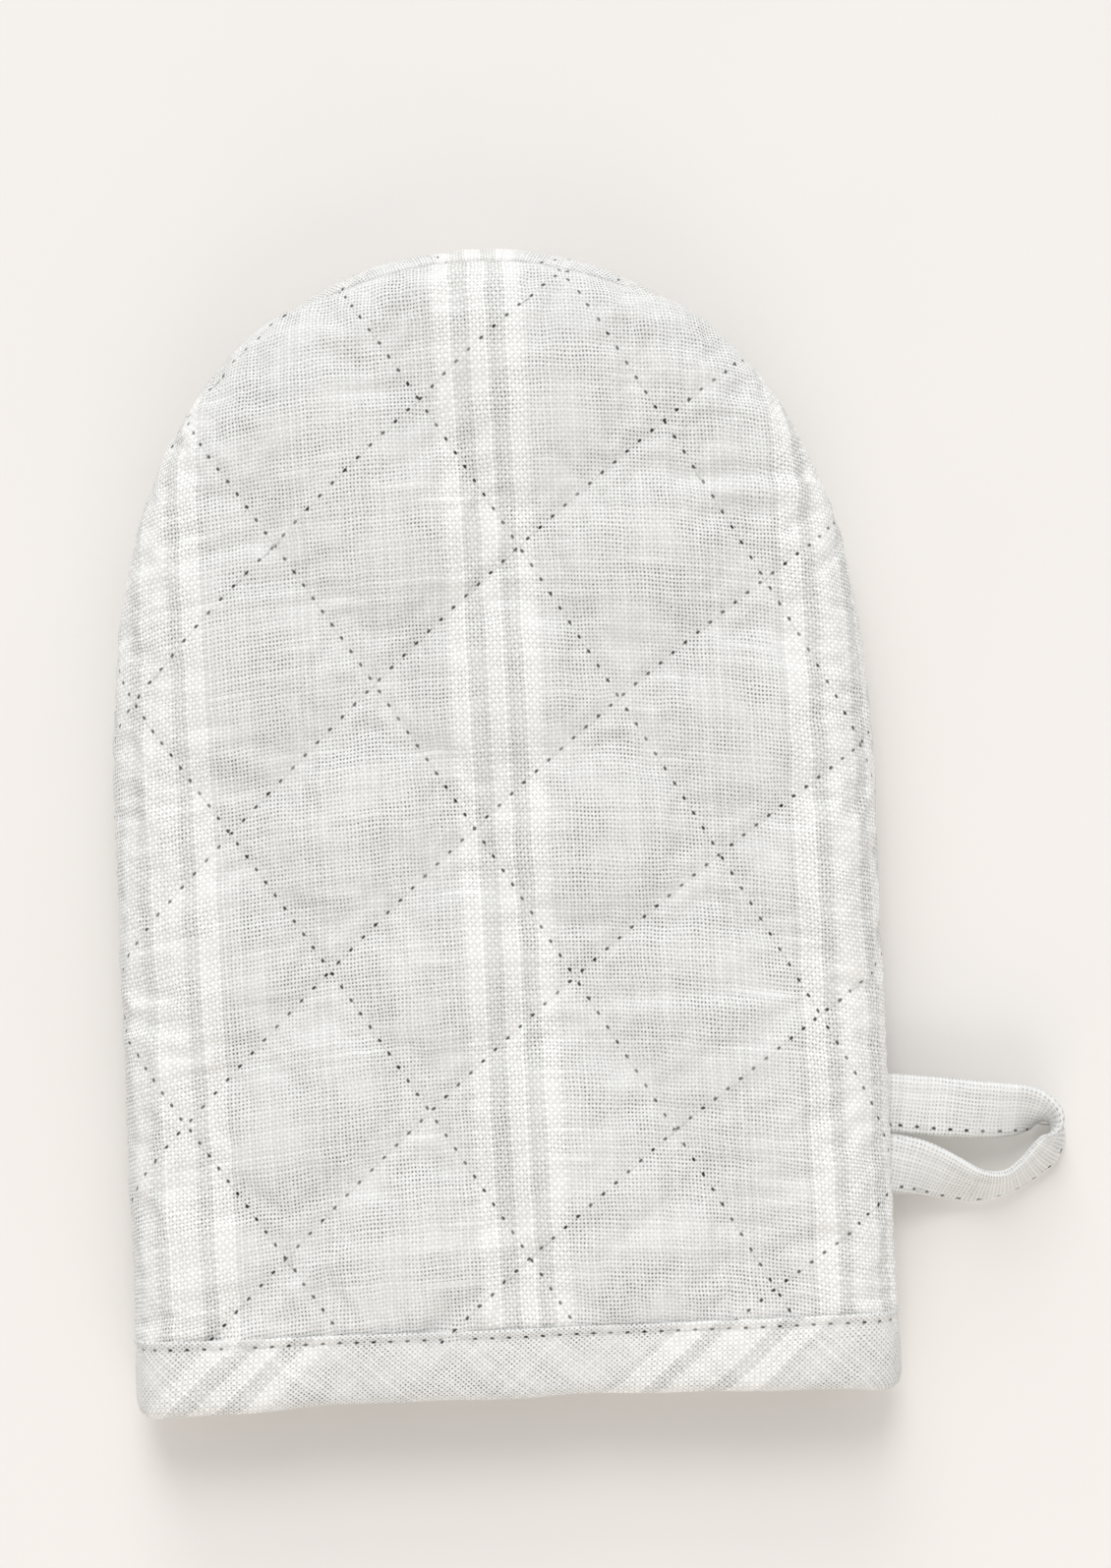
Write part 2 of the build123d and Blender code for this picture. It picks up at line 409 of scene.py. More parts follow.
def woven(name, warp, stripes, lines=(), openness=1.0):
    """Plain weave of slubby yarn. The warp is the thread spacing across the stripes, stripes
    lists (start in mm from a group's middle, colour), lines are the angle and spacing of the
    seams that pierce it, whose needle holes are darkened with painted shade, and openness is how
    open the weave is: the strength of the painted shade in the gaps between its threads."""
    material, tree, bsdf = bare_material(name)

    def calc(operation, *values):
        return add(tree, "ShaderNodeMath", *values, operation=operation)

    cloth = add(tree, "ShaderNodeUVMap", uv_map="cloth")
    drift = add(tree, "ShaderNodeTexNoise", cloth, None, 140.0, 2.0).node.outputs["Color"]
    drift = add(tree, "ShaderNodeSeparateXYZ", drift)
    flat = add(tree, "ShaderNodeSeparateXYZ", cloth)
    u = calc("MULTIPLY_ADD", drift, 0.8 * MM, flat)
    v = calc("MULTIPLY_ADD", drift.node.outputs[1], 1.1 * MM, flat.node.outputs[1])
    a, b = calc("DIVIDE", u, warp), calc("DIVIDE", v, WEFT)
    number_a, number_b = calc("FLOOR", a), calc("FLOOR", b)
    across_a, across_b = (calc("ABSOLUTE", calc("MULTIPLY_ADD", calc("FRACT", place), 2.0, -1.0))
                          for place in (a, b))
    over = calc("PINGPONG", calc("ADD", number_a, number_b), 1.0)
    tone_a, tone_b = (add(tree, "ShaderNodeTexWhiteNoise", None, number, noise_dimensions="1D")
                      for number in (number_a, number_b))
    run = add(tree, "ShaderNodeCombineXYZ", calc("MULTIPLY", u, 45.0), calc("MULTIPLY", number_b, 3.7))
    slub = add(tree, "ShaderNodeMapRange", add(tree, "ShaderNodeTexNoise", run, None, 1.0, 1.0),
               0.64, 0.8)
    patch = add(tree, "ShaderNodeMapRange", add(tree, "ShaderNodeTexNoise", cloth, None, 90.0, 3.0),
                0.35, 0.62, 0.35, 1.0)
    # Painted shade between the threads: the colour is darkened where warp and weft leave a gap, standing
    # in for the shade that falls into it. The patch noise, a random chance per gap, the slubs, the
    # openness and each yarn's alpha set how dark it is.
    corner = calc("MULTIPLY", *(add(tree, "ShaderNodeMapRange", across, 0.25, 0.85)
                                for across in (across_a, across_b)))
    gap_number = add(tree, "ShaderNodeCombineXYZ", *(calc("ROUND", place) for place in (a, b)))
    chance = add(tree, "ShaderNodeTexWhiteNoise", gap_number, noise_dimensions="2D")
    corner = calc("MULTIPLY", corner, calc("MULTIPLY_ADD", chance, 0.45, 0.55))
    gaps = calc("MULTIPLY", calc("MULTIPLY", corner, patch),
                calc("MULTIPLY", calc("SUBTRACT", 1.0, slub), openness))
    where = calc("ABSOLUTE", calc("WRAP", calc("MULTIPLY", number_a, warp),
                                  STRIPE_REPEAT / 2, -STRIPE_REPEAT / 2))
    ramp = add(tree, "ShaderNodeValToRGB", calc("DIVIDE", where, STRIPE_REPEAT / 2)).node
    ramp.color_ramp.interpolation = "CONSTANT"
    ramp.color_ramp.elements.remove(ramp.color_ramp.elements[1])
    ramp.color_ramp.elements[0].color = yarn(stripes[0][1])
    for start, code in stripes[1:]:
        ramp.color_ramp.elements.new(start * MM / (STRIPE_REPEAT / 2)).color = yarn(code)
    gaps = calc("MULTIPLY", gaps, ramp.outputs["Alpha"])
    mix = add(tree, "ShaderNodeMix", over, data_type="RGBA").node
    mix.inputs[6].default_value = colour(WEFT_YARN)
    tree.links.new(ramp.outputs[0], mix.inputs[7])
    tone = calc("MULTIPLY_ADD", calc("ADD", tone_a, tone_b), 0.08, 0.91)
    tone = calc("MULTIPLY_ADD", slub, 0.06, tone)
    # The painted gap shade darkens the cloth's colour.
    tone = calc("MULTIPLY", tone, calc("MULTIPLY_ADD", gaps, -1.0, 1.0))
    crown = calc("SUBTRACT", 1.0, calc("MULTIPLY", across_a, across_a))
    crest = calc("SUBTRACT", 1.0, calc("MULTIPLY", across_b, across_b))
    height = add(tree, "ShaderNodeMix", over, None, crest, crown)
    height = calc("ADD", height, calc("MULTIPLY_ADD", slub, 0.5, calc("MULTIPLY", crown, crest)))
    # Painted shade: each needle hole is darkened in the cloth's colour, standing in for the shade inside
    # the pit; the bump also lowers the cloth there.
    if lines:
        holes = calc("MULTIPLY", needle_holes(tree, calc, lines), calc("MULTIPLY_ADD", patch, 0.5, 0.5))
        tone = calc("MULTIPLY", tone, calc("MULTIPLY_ADD", holes, -0.96, 1.0))
        height = calc("MULTIPLY_ADD", holes, -3.0, height)
    scaled = add(tree, "ShaderNodeVectorMath", mix.outputs[2], operation="SCALE").node
    tree.links.new(tone, scaled.inputs["Scale"])
    bump = add(tree, "ShaderNodeBump", 0.22, 0.22 * MM).node
    tree.links.new(height, bump.inputs["Height"])
    tree.links.new(scaled.outputs[0], bsdf.inputs["Base Color"])
    tree.links.new(bump.outputs[0], bsdf.inputs["Normal"])
    bsdf.inputs["Roughness"].default_value = 0.92
    bsdf.inputs["Specular IOR Level"].default_value = 0.2
    bsdf.inputs["Sheen Weight"].default_value = 0.15
    return material


def needle_holes(tree, calc, lines):
    """1 where the needle pierced the cloth, along seam lines given by their angle and spacing."""
    place = add(tree, "ShaderNodeSeparateXYZ", add(tree, "ShaderNodeUVMap", uv_map="sewn"))
    masks = []
    for angle, spacing in lines:
        turn = math.radians(angle)
        gone, off = (calc("MULTIPLY_ADD", place, x, calc("MULTIPLY", place.node.outputs[1], y))
                     for x, y in ((math.cos(turn), math.sin(turn)), (-math.sin(turn), math.cos(turn))))
        reach = calc("DIVIDE", calc("WRAP", gone, STITCH / 2, -STITCH / 2), HOLE[0])
        width = calc("DIVIDE", calc("WRAP", off, spacing / 2, -spacing / 2), HOLE[1])
        size = calc("ADD", calc("MULTIPLY", reach, reach), calc("MULTIPLY", width, width))
        masks.append(add(tree, "ShaderNodeMapRange", size, 0.35, 1.1, 1.0, 0.0))
    return calc("MAXIMUM", *masks) if len(masks) == 2 else masks[0]


def thread_coordinates(side, flat):
    """Where flat points lie on the weave, counted from the middle of the narrow stripes."""
    u = flat[:, 0] * side - STRIPE_CENTRE - STRIPE_TILT * flat[:, 1]
    return np.column_stack((u, flat[:, 1] + BOW * flat[:, 0] ** 2))


def sewn_panel(side, pressure, slack):
    """A quilted panel's cloth: flat points, triangles, points in place, and its rim's length."""
    flat, triangles, rim = flat_panel(side)
    form = laid_on_form(side, flat)
    pinned = (line_distance(side, flat) < 0.05 * MM) | (flat[:, 1] < BINDING_Y + 0.3 * MM)
    pinned[:rim] = True
    points = puffed(form, flat, triangles, pinned, pressure, slack)
    return flat, triangles, points, rim


def creased(flat, triangles, points):
    """Presses each of CREASES into the cloth as a valley with a raised lip on its right."""
    normals = vertex_normals(points, triangles)
    for start, end, depth in CREASES:
        run = np.subtract(end, start)
        length = np.linalg.norm(run)
        place = flat / MM - start
        gone = place @ run / length
        aside = place @ (-run[1], run[0]) / length
        fade = smooth(0, CREASE_FADE, gone) * smooth(0, CREASE_FADE, length - gone)
        lip = 0.8 * np.exp(-((aside + LIP_OFFSET) / LIP) ** 2)
        valley = np.exp(-(aside / VALLEY) ** 2)
        points = points + normals * (depth * MM * fade * (lip - valley))[:, None]
    return points


def shell(name, side, flat, triangles, points, material):
    """The panel's outer cloth as a closed sheet."""
    maps = {"cloth": thread_coordinates(side, flat),
            "sewn": (drooped(flat, 1) - QUILT_CROSSING * (side, 1)) * (side, 1)}
    points, triangles, maps = finer(points, triangles, maps)
    points[:, 2] = np.maximum(points[:, 2], 0.05 * MM)
    return thickened(piece(name, points, triangles, maps, material), CLOTH)


STRIPES = ((0, WHITE_YARN), (2.2, GREY_YARN), (5.2, WHITE_YARN), (9.6, BASE_YARN),
           (59.4, WHITE_YARN), (63.8, GREY_YARN), (66.8, WHITE_YARN))
quilt_lines = tuple((angle, spacing) for angle, spacing, length in QUILT_FAMILIES)
quilted_cloth = woven("Plain weave of cotton and linen yarn, quilted", WARP, STRIPES, quilt_lines)
front_flat, front_triangles, front_points, front_rim = sewn_panel(1, 5, 0.02)
front_points = creased(front_flat, front_triangles, front_points)
front = shell("front_cloth", 1, front_flat, front_triangles, front_points, quilted_cloth)
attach(front, "mitt")
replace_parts(front, "front_shell")


# ----------------------------------------------------------
# Back panel cloth. The same cloth, quilted and cut as the front's mirror image. The mitt rests
# on it, so the diamonds underneath are flattened by the table.
back_flat, back_triangles, back_points, back_rim = sewn_panel(-1, 4, 0.016)
pressed = 0.3 * MM
under = back_points[:, 2] < pressed
back_points[under, 2] = pressed - 0.2 * MM * (1 - np.exp((back_points[under, 2] - pressed) / MM))
back = shell("back_cloth", -1, back_flat, back_triangles, back_points, quilted_cloth)
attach(back, "mitt")
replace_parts(back, "back_shell")


# ----------------------------------------------------------
# Wadding, front and back. A felted polyester and cotton batt, sewn through in every quilting
# line and pressed thin there and at the side seam, full height in the middle of each diamond.
PRESSED, FULL = 1.1 * MM, 4.6 * MM     # thickness in a stitch line and in a diamond


def batt_depth(side, flat):
    """Thickness of wadding between the two cloths."""
    index, inside = nearest_on_outline(flat)
    rise = smooth(0, 9 * MM, line_distance(side, flat)) * smooth(0, 9 * MM, inside + 3 * MM)
    rise *= smooth(0, 10 * MM, flat[:, 1] - BINDING_Y + 2 * MM)
    return PRESSED + (FULL - PRESSED) * rise


def inward(points, triangles, depth):
    """Points moved into the mitt along the outer face's normals, evened out with neighbours."""
    normals = vertex_normals(points, triangles)
    for _ in range(3):
        for k in range(3):
            pooled = normals.copy()
            np.add.at(pooled, triangles[:, k], normals[triangles[:, k - 1]])
            normals = unit(pooled)
    return points - normals * np.asarray(depth)[:, None]


def fibre(name):
    """Matted white fibre."""
    material, tree, bsdf = bare_material(name)
    place = add(tree, "ShaderNodeTexCoord").node.outputs["Object"]
    noise = add(tree, "ShaderNodeTexNoise", place, None, 1400.0, 4.0)
    bump = add(tree, "ShaderNodeBump", 0.6, 0.4 * MM).node
    tree.links.new(noise, bump.inputs["Height"])
    tree.links.new(bump.outputs[0], bsdf.inputs["Normal"])
    bsdf.inputs["Base Color"].default_value = colour("#EDEBE5")
    bsdf.inputs["Roughness"].default_value = 1.0
    return material


def wadding(name, side, flat, triangles, points, material):
    """Closes the batt between the outer cloth and the lining."""
    depth = batt_depth(side, flat)
    outer = inward(points, triangles, np.full(len(flat), CLOTH + 0.08 * MM))
    inner = inward(points, triangles, CLOTH + depth - 0.08 * MM)
    count = len(flat)
    pairs = np.sort(triangles[:, [0, 1, 1, 2, 2, 0]].reshape(-1, 2), axis=1)
    _, which, times = np.unique(pairs, axis=0, return_inverse=True, return_counts=True)
    edges = triangles[:, [0, 1, 1, 2, 2, 0]].reshape(-1, 2)[times[which.ravel()] == 1]
    wall = np.vstack((np.column_stack((edges[:, 1], edges[:, 0], edges[:, 0] + count)),
                      np.column_stack((edges[:, 1], edges[:, 0] + count, edges[:, 1] + count))))
    faces = np.vstack((triangles, triangles[:, ::-1] + count, wall))
    made = piece(name, np.vstack((outer, inner)), faces, {}, material)
    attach(made, "mitt")
    return made


batt = fibre("Needled cotton and polyester batt")
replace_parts(wadding("front_batt", 1, front_flat, front_triangles, front_points, batt),
            "front_wadding")
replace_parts(wadding("back_batt", -1, back_flat, back_triangles, back_points, batt),
            "back_wadding")


# ----------------------------------------------------------
# Linings. Plain undyed cotton cloth inside the pocket, quilted with the panels. Past the side
# seam it folds back into the pocket with the rest of the seam allowance.
ALLOWANCE = 9 * MM
CLEARANCE = 0.35 * MM        # of each allowance from the middle of the seam


def lining(name, side, flat, triangles, points, rim, material):
    """The panel's inner cloth, with its seam allowance turned in along the middle of the mitt."""
    inside = inward(points, triangles, CLOTH + batt_depth(side, flat))
    turned, sheet_flat, faces = [inside], [flat], [triangles[:, ::-1]]
    index = nearest_on_outline(flat[:rim])[0]
    seam = seam_point(index)
    last = np.arange(rim)
    for depth in (1.6 * MM, 4.0 * MM, 6.5 * MM, ALLOWANCE):
        ring = seam - np.column_stack((OUTWARD[index] * depth, np.zeros(rim)))
        ring[:, 2] += side * CLEARANCE + 0.25 * MM * np.sin(np.arange(rim) * 0.31 + depth * 900)
        here = np.arange(rim) + sum(map(len, turned))
        a, b, c, d = last[:-1], last[1:], here[1:], here[:-1]
        band = np.vstack((np.column_stack((a, b, c)), np.column_stack((a, c, d))))
        faces.append(band[:, ::-side])
        turned.append(ring)
        sheet_flat.append(flat[:rim] + OUTWARD[index] * depth)
        last = here
    made = piece(name, np.vstack(turned), np.vstack(faces),
                 {"cloth": np.vstack(sheet_flat)}, material)
    thickened(made, 0.3 * MM)
    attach(made, "mitt")
    return made


lining_cloth = woven("Plain weave of undyed cotton", 0.5 * MM, ((0, "#EFEDE6"), (1, "#EFEDE6")),
                     openness=0.3)
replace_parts(lining("front_lining_cloth", 1, front_flat, front_triangles, front_points, front_rim,
                   lining_cloth), "front_lining")
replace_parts(lining("back_lining_cloth", -1, back_flat, back_triangles, back_points, back_rim,
                   lining_cloth), "back_lining")


# ----------------------------------------------------------
# Quilting thread, front and back. Polyester lockstitch, 3.5 mm to the stitch, through cloth,
# wadding and lining. It sinks into the cloth at each needle hole, on both sides.
def stitch_nodes():
    """Node tree that puts an arched length of thread at every point, along the point's own axes."""
    tree = bpy.data.node_groups.new("Stitches", "GeometryNodeTree")
    tree.interface.new_socket("Geometry", in_out="INPUT", socket_type="NodeSocketGeometry")
    for name, kind in (("Length", "Float"), ("Arch", "Float"), ("Thickness", "Float"),
                       ("Seed", "Int"), ("Thread", "Material")):
        tree.interface.new_socket(name, in_out="INPUT", socket_type="NodeSocket" + kind)
    tree.interface.new_socket("Geometry", in_out="OUTPUT", socket_type="NodeSocketGeometry")
    given = tree.nodes.new("NodeGroupInput").outputs
    half = add(tree, "ShaderNodeMath", given["Length"], 0.5, operation="MULTIPLY")
    back = add(tree, "ShaderNodeMath", half, -1.0, operation="MULTIPLY")
    sunk = add(tree, "ShaderNodeMath", given["Arch"], -1.0, operation="MULTIPLY")
    start, middle, end = (add(tree, "ShaderNodeCombineXYZ", x, 0.0, z)
                          for x, z in ((back, sunk), (0.0, given["Arch"]), (half, sunk)))
    line = add(tree, "GeometryNodeCurveQuadraticBezier", 6, start, middle, end)
    radius = add(tree, "ShaderNodeMath", given["Thickness"], 0.5, operation="MULTIPLY")
    ring = add(tree, "GeometryNodeCurvePrimitiveCircle", 6).node
    tree.links.new(radius, ring.inputs["Radius"])
    tube = add(tree, "GeometryNodeCurveToMesh", line, ring.outputs[0]).node
    tube.inputs["Fill Caps"].default_value = True
    ahead, up, reach = (add(tree, "GeometryNodeInputNamedAttribute", name, data_type=kind)
                        for name, kind in (("ahead", "FLOAT_VECTOR"), ("up", "FLOAT_VECTOR"),
                                           ("reach", "FLOAT")))
    turn = add(tree, "FunctionNodeAxesToRotation", ahead, up, primary_axis="X", secondary_axis="Z")
    vary = add(tree, "FunctionNodeRandomValue", data_type="FLOAT").node
    vary.inputs[2].default_value = 0.85
    vary.inputs[3].default_value = 1.1
    tree.links.new(given["Seed"], vary.inputs["Seed"])
    size = add(tree, "ShaderNodeCombineXYZ", reach, vary.outputs[1], vary.outputs[1])
    placed = add(tree, "GeometryNodeInstanceOnPoints", given["Geometry"]).node
    for socket, name in ((tube.outputs[0], "Instance"), (turn, "Rotation"), (size, "Scale")):
        tree.links.new(socket, placed.inputs[name])
    real = add(tree, "GeometryNodeRealizeInstances", placed.outputs[0])
    done = add(tree, "GeometryNodeSetMaterial", real).node
    tree.links.new(given["Thread"], done.inputs["Material"])
    tree.links.new(done.outputs[0], tree.nodes.new("NodeGroupOutput").inputs[0])
    return tree


STITCHES = stitch_nodes()
SHOWN = 0.72                 # share of a stitch that shows between its holes


def stitches(name, rows, length, arch, thickness, seed, material):
    """Thread laid from hole to hole: rows of (start points, end points, directions away)."""
    start, end, up = (np.vstack([row[k] for row in rows]) for k in range(3))
    ahead = end - start
    span = np.linalg.norm(ahead, axis=1)
    mesh = bpy.data.meshes.new(name)
    mesh.from_pydata((start + end) / 2, [], [])
    for key, values in (("ahead", ahead), ("up", up)):
        mesh.attributes.new(key, "FLOAT_VECTOR", "POINT").data.foreach_set("vector", values.ravel())
    reach = SHOWN * span / length
    mesh.attributes.new("reach", "FLOAT", "POINT").data.foreach_set("value", reach)
    made = shown(name, mesh)
    nodes = made.modifiers.new("stitches", "NODES")
    nodes.node_group = STITCHES
    values = {"Length": length, "Arch": arch, "Thickness": thickness, "Seed": seed, "Thread": material}
    for item in STITCHES.interface.items_tree:
        if item.name in values:
            nodes[item.identifier] = values[item.name]
    applied(made).data.shade_smooth()
    return made


def thread_material(name, code):
    """Spun polyester thread: fine twist lines on a dull sheen."""
    material, tree, bsdf = bare_material(name)
    place = add(tree, "ShaderNodeTexCoord").node.outputs["Object"]
    twist = add(tree, "ShaderNodeTexNoise", place, None, 6000.0, 2.0)
    bump = add(tree, "ShaderNodeBump", 0.4, 0.05 * MM).node
    tree.links.new(twist, bump.inputs["Height"])
    tree.links.new(bump.outputs[0], bsdf.inputs["Normal"])
    bsdf.inputs["Base Color"].default_value = colour(code)
    bsdf.inputs["Roughness"].default_value = 0.6
    return material


def on_cloth(targets, flat, triangles, points):
    """Where flat targets lie on the cloth in place, and the cloth's outward direction there."""
    tree = BVHTree.FromPolygons([(x, y, 0) for x, y in flat], triangles.tolist())
    corners = triangles[[tree.find_nearest((x, y, 0))[2] for x, y in targets]]
    a, b, c = flat[corners].swapaxes(0, 1)

    def area(p, q, r):
        return (q[:, 0] - p[:, 0]) * (r[:, 1] - p[:, 1]) - (r[:, 0] - p[:, 0]) * (q[:, 1] - p[:, 1])

    share = np.column_stack((area(targets, b, c), area(a, targets, c), area(a, b, targets)))
    share = share / area(a, b, c)[:, None]
    normals = vertex_normals(points, triangles)
    return ((points[corners] * share[:, :, None]).sum(1), (normals[corners] * share[:, :, None]).sum(1))


def quilting_holes(side):
    """Needle holes of every quilting line as flat points, row by row."""
    centre = QUILT_CROSSING * (side, 1)
    marks = np.arange(-70, 71) * STITCH
    rim = cut_edge(side)
    for ahead, spacing, length in quilt_axes(side):
        across = np.array((-ahead[1], ahead[0]))
        for number in range(-5, 6):
            holes = drooped(centre + number * spacing * across + marks[:, None] * ahead)
            near = np.array([np.linalg.norm(rim - p, axis=1).min() for p in holes])
            keep = inside_polygon(holes, rim) & (near > 1.2 * MM) & (holes[:, 1] > BINDING_Y)
            if keep.sum() > 2:
                yield holes[keep]


def quilting(name, side, flat, triangles, points, seed):
    """Both faces of the quilting: needle thread outside, bobbin thread on the lining."""
    lined = inward(points, triangles, CLOTH + batt_depth(side, flat) + 0.3 * MM)
    rows = []
    for holes in quilting_holes(side):
        outer, away = on_cloth(holes, flat, triangles, points)
        inner = on_cloth(holes, flat, triangles, lined)[0]
        rows.append((outer[:-1], outer[1:], away[:-1]))
        rows.append((inner[:-1], inner[1:], -away[:-1]))
    made = stitches(name, rows, STITCH, 0.2 * MM, 0.26 * MM, seed, thread)
    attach(made, "mitt")
    return made


thread = thread_material("Spun polyester sewing thread", "#D9DAD7")
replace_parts(quilting("front_quilting", 1, front_flat, front_triangles, front_points, 3),
            "front_quilting_thread")
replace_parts(quilting("back_quilting", -1, back_flat, back_triangles, back_points, 4),
            "back_quilting_thread")


# ----------------------------------------------------------
# Side seam. A lockstitch row joins the two panels from one corner of the mouth round the
# fingertips to the other, 1.2 mm inside the pocket from where the outer cloths meet.
SEAM_STITCH, SEAM_DEPTH = 2.6 * MM, 1.2 * MM


def seam_marks(pitch):
    """Outline indices about a pitch apart, from 3 mm past one corner of the mouth to 3 mm before the
    other.
    """
    gone = gone_along(OUTLINE)
    return np.searchsorted(gone, np.arange(3 * MM, gone[-1] - 3 * MM, pitch))


def seam_row(marks, depth, lift):
    """Points of the seam moved a depth into the pocket and a lift up."""
    return seam_point(marks) - np.column_stack((OUTWARD[marks] * depth, np.full(len(marks), -lift)))


def facing(lift, count):
    """Up or down, as a row's lift goes, for a number of stitches."""
    return np.tile((0, 0, math.copysign(1, lift)), (count, 1))


seam_places = seam_marks(SEAM_STITCH)
seam_rows = []
for lift in (0.75 * MM, -0.75 * MM):
    row = seam_row(seam_places, SEAM_DEPTH, lift)
    seam_rows.append((row[:-1], row[1:], facing(lift, len(row) - 1)))
seam = stitches("side_seam", seam_rows, SEAM_STITCH, 0.12 * MM, 0.35 * MM, 5, thread)
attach(seam, "mitt")
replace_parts(seam, "side_seam_thread")


# ----------------------------------------------------------
# Overlock. Three-thread overlocking round the raw edge of the seam allowance inside the pocket:
# slanting needle stitches on both faces and loops over the edge.
OVERLOCK_PITCH, OVERLOCK_WIDTH = 2.2 * MM, 4.5 * MM
places = seam_marks(OVERLOCK_PITCH)
overlock_rows = []
for lift in (0.85 * MM, -0.85 * MM):
    outer, inner = (seam_row(places, depth, lift) for depth in (ALLOWANCE - OVERLOCK_WIDTH, ALLOWANCE))
    overlock_rows.append((outer[:-1], inner[1:], facing(lift, len(places) - 1)))
    overlock_rows.append((outer[:-1], outer[1:], facing(lift, len(places) - 1)))
above, below = (seam_row(places, ALLOWANCE + 0.3 * MM, lift) for lift in (0.8 * MM, -0.8 * MM))
overlock_rows.append((above, below, -np.column_stack((OUTWARD[places], np.zeros(len(places))))))
overlock = stitches("seam_overlock", overlock_rows, 3.0 * MM, 0.2 * MM, 0.28 * MM, 6, thread)
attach(overlock, "mitt")
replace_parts(overlock, "seam_overlock_thread")


# ----------------------------------------------------------
# Hanging loop. A strip of plain grey cloth folded in on itself and stitched along its open
# edge, both ends caught in the side seam. Its upper leg lies flat, then it stands on edge
# round the bend and leans back over on the way to its lower end.
LOOP_WIDTH, LOOP_DEPTH = 12.4 * MM, 1.8 * MM
EDGE_ROW = 1.8 * MM          # from the strip's open edge to its stitching
FOLD_START, FOLD_END = (0.0794, -0.068, 0.0115), (0.084, -0.068, 0.0115)
LOOP_YARN = "#E7E8E6"
# Middle of the strip from its upper root round to its lower one in mm, and its tilt in degrees.
LOOP_STATIONS = np.array((
    (79.1, -61.5, 11.5, 0), (80.4, -61.5, 11.5, 0), (86.0, -62.2, 11.3, 1),
    (92.5, -63.0, 10.8, 3), (101.5, -64.0, 9.8, 12), (108.8, -64.4, 8.9, 30),
    (113.6, -65.9, 8.0, 66), (115.0, -69.2, 7.4, 108), (112.9, -73.2, 7.2, 124),
    (109.0, -76.7, 7.0, 120), (104.2, -79.4, 7.2, 117), (98.3, -79.9, 7.6, 124),
    (92.2, -78.0, 8.6, 142), (86.0, -75.6, 10.2, 164), (80.4, -74.2, 11.5, 180),
    (79.1, -74.0, 11.5, 180)))


def curve_through(stations, steps):
    """A smooth curve through the stations."""
    padded = np.vstack((2 * stations[0] - stations[1], stations, 2 * stations[-1] - stations[-2]))
    t = np.linspace(0, 1, steps, endpoint=False)[:, None]
    parts = []
    for a, b, c, d in zip(padded, padded[1:], padded[2:], padded[3:]):
        parts.append(b + 0.5 * t * (c - a + t * (2 * a - 5 * b + 4 * c - d + t * (3 * (b - c) + d - a))))
    return np.vstack((*parts, stations[-1:]))


def strip_frame():
    """Middle, across and away directions, and the length gone, down the strip."""
    track = curve_through(LOOP_STATIONS, 9)
    middle, tilt = track[:, :3] * MM, np.radians(track[:, 3])
    ahead = np.gradient(middle, axis=0)
    ahead = unit(ahead)
    level = np.column_stack((-ahead[:, 1], ahead[:, 0], np.zeros(len(ahead))))
    level = unit(level)
    across = np.cos(tilt)[:, None] * level + np.sin(tilt)[:, None] * np.array((0, 0, 1))
    across -= ahead * (across * ahead).sum(1)[:, None]
    across = unit(across)
    gone = gone_along(middle)
    return middle, across, np.cross(ahead, across), gone


def swept(name, rings, maps, material):
    """A closed solid through closed rings of points, with flat ends."""
    count, size = rings.shape[:2]
    number = np.arange(count * size).reshape(count, size)
    a, b = number[:-1], number[1:]
    sides = np.stack((a, np.roll(a, -1, 1), np.roll(b, -1, 1), b), 2).reshape(-1, 4)
    faces = sides.tolist() + [number[0][::-1].tolist(), number[-1].tolist()]
    return piece(name, rings.reshape(-1, 3), faces, maps, material)


def strip_rings(middle, across, away, gone):
    """Rings round the folded strip, soft at its folds, and the same points on the flat strip."""
    place = np.concatenate((np.linspace(-0.5, 0.5, 15), np.linspace(0.5, -0.5, 15)[1:-1]))
    face = np.concatenate((np.ones(15), -np.ones(13)))
    face[[0, 14]] = 0
    swell = np.clip(1 - np.abs(2 * place) ** 7, 0.0, 1) ** 0.5
    rim_roll = 1 + 0.10 * np.exp(-((np.abs(place) - 0.42) / 0.05) ** 2)
    wave = 0.12 * MM * (np.sin(gone / (3.1 * MM)) + np.sin(gone / (4.7 * MM) + 1.3))
    width = LOOP_WIDTH * (1 + 0.012 * np.sin(gone / (5.3 * MM)))
    rings = (middle[:, None] + across[:, None] * (place[None, :, None] * width[:, None, None])
             + away[:, None] * (face * swell * rim_roll * LOOP_DEPTH / 2)[None, :, None]
             + away[:, None] * (wave[:, None] * place[None] * 2)[:, :, None])
    flat = np.stack(np.broadcast_arrays(gone[:, None], place[None] * LOOP_WIDTH), 2)
    return rings, flat.reshape(-1, 2)


strip_middle, strip_across, strip_away, strip_gone = strip_frame()
strip, strip_flat = strip_rings(strip_middle, strip_across, strip_away, strip_gone)
loop_maps = {"cloth": strip_flat, "sewn": strip_flat + (0, LOOP_WIDTH / 2 - EDGE_ROW)}
loop_cloth = woven("Plain weave grey cotton strip", WARP, ((0, LOOP_YARN), (1, LOOP_YARN)), ((0, 1.0),),
                   openness=0.7)
loop = swept("loop_strip", strip, loop_maps, loop_cloth)
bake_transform(loop)
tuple(FOLD_START)
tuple(FOLD_END)
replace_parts(loop, "hanging_loop")


